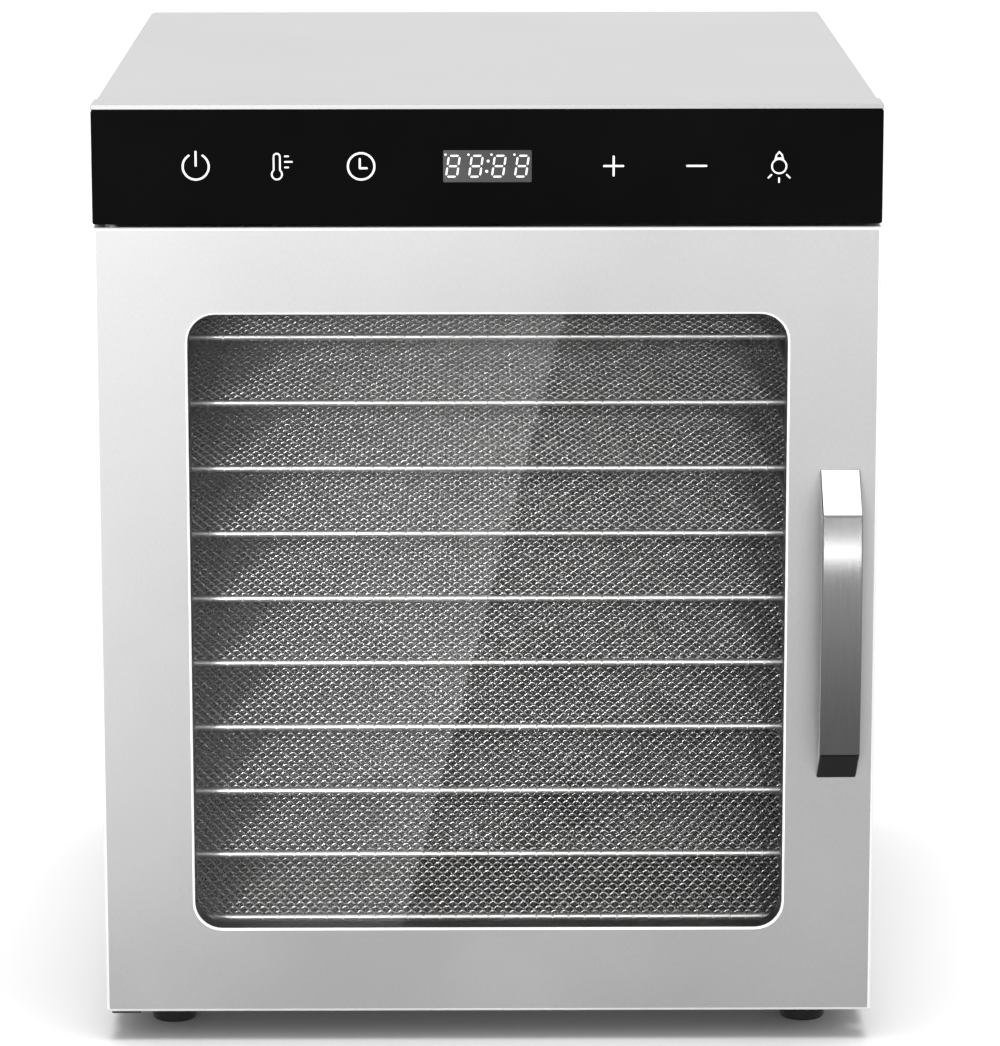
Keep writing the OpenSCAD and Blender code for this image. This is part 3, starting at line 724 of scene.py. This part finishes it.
def case_screws():
    """Six pan-head screws in the back panel, and one up through each foot into a nut."""
    rear_y, rear_r, rear_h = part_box("back_panel")[1].y, 3.2 * MM, 2.0 * MM
    foot_r, foot_h = 4.0 * MM, 2.6 * MM
    rear = [(x * MM, rear_y, DOOR_LOW.z + z * MM) for x in (-162, 162) for z in (14, 200, 395.2)]
    feet = []
    for node in NODES:
        if node.startswith("foot_"):
            low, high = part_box(node)
            feet.append(((low.x + high.x) / 2, (low.y + high.y) / 2, 6.0 * MM))
    heads, cutters = bmesh.new(), bmesh.new()
    for centre in rear:
        turned(heads, dome(rear_r, rear_h), centre, (0, 1, 0), 28)
        cross_recess(cutters, centre, (0, 1, 0), rear_r, rear_h)
    for centre in feet:
        turned(heads, dome(foot_r, foot_h), centre, (0, 0, -1), 28)
        cross_recess(cutters, centre, (0, 0, -1), foot_r, foot_h)
    steel = MATERIALS["plated_steel"]
    made = piece("case_screw_heads", heads, steel, "cabinet", ("case_screws",))
    tool = placed("recess_cutters", mesh_from("recess_cutters", cutters))
    cut = made.modifiers.new("recess", "BOOLEAN")
    cut.operation = "DIFFERENCE"
    cut.solver = "EXACT"
    cut.use_self = True
    cut.object = tool
    bpy.context.view_layer.update()
    graph = bpy.context.evaluated_depsgraph_get()
    finished = bpy.data.meshes.new_from_object(made.evaluated_get(graph))
    made.modifiers.clear()
    made.data = finished
    bpy.data.objects.remove(tool)

    shanks = bmesh.new()
    for centre in rear:
        turned(shanks, [(1.5 * MM, -8 * MM), (1.5 * MM, 0.0)], centre, (0, 1, 0), 20)
    for centre in feet:
        turned(shanks, [(2 * MM, 0.0), (2 * MM, 13.8 * MM)], centre, (0, 0, 1), 20)
        turned(shanks, [(4 * MM, 7.8 * MM), (4 * MM, 11 * MM)], centre, (0, 0, 1), 6)
    piece("case_screw_shanks", shanks, steel, "cabinet")


# ---------------------------------------------------------------- CAD nodes that keep their shape
ROUNDED = {
    "control_glass": 0.35, "fascia": 0.4, "outer_wrap": 0.25, "back_panel": 0.25, "base_pan": 0.3,
    "front_frame": 0.25, "crumb_tray": 0.3, "hinge_lower": 0.5, "hinge_upper": 0.5, "hinge_bushes": 0.6,
    "magnet_catch": 0.8, "strike_plate": 0.3, "cable_gland": 0.5, "rear_spacers": 0.9,
    "foot_front_left": 0.9, "foot_front_right": 0.9, "foot_rear_left": 0.9, "foot_rear_right": 0.9,
    "door_inner_frame": 0.3, "door_gasket": 0.45, "tray_rails_left": 0.25, "tray_rails_right": 0.25,
    "fan_impeller": 0.3,
}


def dress_nodes():
    """Rounds the edges of the nodes in ROUNDED, and gives every other shown node its slot's material."""
    for node, width in ROUNDED.items():
        rounded_copy(node, width * MM)
    for node, thing in NODES.items():
        material = MATERIALS[SLOT_OF[node]]
        if not thing.material_slots:
            thing.data.materials.append(material)
        for material_slot in thing.material_slots:
            material_slot.material = material


# ---------------------------------------------------------------- studio
def world():
    """A bright studio: white above the horizon, and greyer towards the ground for what the metal mirrors."""
    studio = bpy.data.worlds.new("studio")
    bpy.context.scene.world = studio
    studio.use_nodes = True
    tree = studio.node_tree
    tree.nodes.clear()
    place = tree.nodes.new("ShaderNodeTexCoord")
    split = tree.nodes.new("ShaderNodeSeparateXYZ")
    tree.links.new(place.outputs["Generated"], split.inputs[0])
    ramp = tree.nodes.new("ShaderNodeValToRGB")
    spread = tree.nodes.new("ShaderNodeMapRange")
    spread.inputs["From Min"].default_value = -1
    spread.inputs["From Max"].default_value = 1
    tree.links.new(split.outputs["Z"], spread.inputs["Value"])
    tree.links.new(spread.outputs["Result"], ramp.inputs["Fac"])
    stops = ((0.0, 0.03), (0.22, 0.08), (0.34, 0.44), (0.42, 0.76), (0.48, 0.88), (0.56, 0.73), (0.64, 0.98),
             (0.8, 1.0), (1.0, 0.62))
    ramp.color_ramp.elements[0].position = stops[0][0]
    ramp.color_ramp.elements[1].position = stops[-1][0]
    for position, level in stops[1:-1]:
        ramp.color_ramp.elements.new(position)
    for element, (position, level) in zip(ramp.color_ramp.elements, stops):
        element.color = (level, level, level, 1)
    background = tree.nodes.new("ShaderNodeBackground")
    background.inputs["Strength"].default_value = 1.1
    tree.links.new(ramp.outputs["Color"], background.inputs["Color"])
    output = tree.nodes.new("ShaderNodeOutputWorld")
    tree.links.new(background.outputs[0], output.inputs["Surface"])


def hung(name, data, place, target):
    """A lamp of data at place that faces target and stays out of the picture."""
    lamp = placed(name, data)
    lamp.location = place
    lamp.rotation_euler = (Vector(target) - Vector(place)).to_track_quat("-Z", "Y").to_euler()
    lamp.visible_camera = False
    return lamp


def softbox(name, place, target, size, power):
    """A rectangular lamp at place that faces target."""
    data = bpy.data.lights.new(name, "AREA")
    data.shape = "RECTANGLE"
    data.size, data.size_y = size
    data.energy = power
    return hung(name, data, place, target)


def only_on(lamp, things):
    """Lets lamp light only things."""
    lit = bpy.data.collections.new(lamp.name + "_lights")
    for thing in things:
        lit.objects.link(thing)
    lamp.light_linking.receiver_collection = lit


def floor():
    """A pale floor far past the picture's edges, which nothing mirrors."""
    bm = bmesh.new()
    bmesh.ops.create_grid(bm, x_segments=8, y_segments=8, size=14.0)
    mesh = bpy.data.meshes.new("floor")
    bm.to_mesh(mesh)
    bm.free()
    thing = placed("floor", mesh)
    s = Shader("pale_floor")
    cloud = s.noise(3, 3)
    s.surface(s.colours(cloud, grey(0.61), grey(0.64)), s.spread(cloud, 0.75, 0.85))
    mesh.materials.append(s.material)
    thing.visible_glossy = False
    return thing


def camera():
    """The camera stands in front of the door, above it, and looks slightly down."""
    data = bpy.data.cameras.new("camera")
    thing = placed("camera", data)
    bpy.context.scene.camera = thing
    data.sensor_width = 36.0
    data.lens = 165.9
    data.clip_start, data.clip_end = 0.05, 60
    thing.location = (-0.0055, FRONT_Y - 2.0566, DOOR_LOW.z + 0.6536)
    down, yaw, roll = math.radians(11.85), math.radians(0.3), math.radians(-0.05)
    turn = Matrix.Rotation(-yaw, 4, "Z") @ Matrix.Rotation(math.pi / 2 - down, 4, "X")
    thing.rotation_euler = (turn @ Matrix.Rotation(roll, 4, "Z")).to_euler()


def aimed(place, turn, rise, distance):
    """A point at distance from place, turn degrees to the right of its front and rise degrees up."""
    turn, rise = math.radians(turn), math.radians(rise)
    away = Vector((math.sin(turn) * math.cos(rise), -math.cos(turn) * math.cos(rise), math.sin(rise)))
    return place + distance * away


def spotlight(name, place, target, cone, power):
    """A round lamp at place whose light fades from target to the edge of its cone, in degrees across."""
    data = bpy.data.lights.new(name, "SPOT")
    data.spot_size = math.radians(cone)
    data.spot_blend = 1.0
    data.shadow_soft_size = 0.1
    data.energy = power
    return hung(name, data, place, target)


def fade(lamp, start):
    """Fades a lamp from its right edge to nothing at start, which runs from 0 on the left to 1."""
    lamp.data.use_nodes = True
    tree = lamp.data.node_tree
    across = tree.nodes.new("ShaderNodeNewGeometry")
    split = tree.nodes.new("ShaderNodeSeparateXYZ")
    tree.links.new(across.outputs["Parametric"], split.inputs[0])
    spread = tree.nodes.new("ShaderNodeMapRange")
    spread.inputs["From Min"].default_value = start
    tree.links.new(split.outputs["X"], spread.inputs["Value"])
    emission = next(node for node in tree.nodes if node.type == "EMISSION")
    tree.links.new(spread.outputs["Result"], emission.inputs["Strength"])


def studio(front, edges, pull, woven):
    """The floor, the camera and the lamps. Most lamps light one piece, as a card held close to it would."""
    world()
    ground = floor()
    camera()
    middle = (DOOR_LOW + DOOR_HIGH) / 2

    # the whole object; its metal mirrors the world instead of the overhead lamp, so the top stays grey
    softbox("key", aimed(middle, -9, 9, 3.2), middle, (0.5, 0.4), 13)
    overhead = softbox("top", (0.0, 0.0, 2.4), (0, 0, 0.3), (2.4, 2.4), 25)
    overhead.visible_glossy = False
    sun = placed("ground_sun", bpy.data.lights.new("ground_sun", "SUN"))
    sun.data.energy, sun.data.angle = 2.6, math.radians(36)
    only_on(sun, [ground])

    # the trays, brighter on the left
    left, right = middle + Vector((-0.07, 0, -0.05)), middle + Vector((0.12, 0, -0.03))
    only_on(spotlight("trays_left", aimed(left, -13, 14, 2.2), left, 12, 200), woven)
    only_on(spotlight("trays_right", aimed(right, 5, 14, 2.2), right, 14, 65), woven)

    # the door: its bright window rim and fold, and the two soft gradients across its sheet
    only_on(softbox("rim_card", middle + Vector((0, -1.0, 0)), middle, (1.6, 1.6), 12), edges[1:])
    only_on(softbox("fold_card", middle + Vector((0, -1.0, -0.1)), middle, (1.6, 0.2), 1.6), edges[:1])
    only_on(softbox("low_left", (-0.42, FRONT_Y - 0.7, 0.04), middle, (0.3, 0.3), 0.36), [front])
    only_on(softbox("high_right", (0.60, FRONT_Y - 1.3, 0.35), middle, (0.3, 0.3), 0.75), [front])

    # the handle: a highlight across its grip, and its white upper leg
    grip = (HANDLE_LOW + HANDLE_HIGH) / 2
    strip = Vector((grip.x * 1.6, FRONT_Y - 1.2, 0.130))
    only_on(softbox("grip_strip", strip, grip, (0.3, 0.02), 0.17), [pull])
    only_on(softbox("grip_top", (grip.x * 1.4, FRONT_Y - 0.05, 1.6), grip, (0.6, 0.6), 6), [pull])

    # the slanting reflection in the left of the window
    lit = Vector((-0.158, FRONT_Y, 0.187))
    card = softbox("glare", lit + Vector((0, -0.25, 0)), lit, (0.33, 0.6), 2.2)
    card.rotation_euler.rotate_axis("Z", math.radians(-14.6))
    fade(card, 0.35)
    only_on(card, [NODES["door_glass"]])

    bpy.context.scene.view_settings.view_transform = "Standard"


front, edges = door_skin()
pull = door_handle()
woven = trays()
control_panel()
case_screws()
dress_nodes()
studio(front, edges, pull, woven)
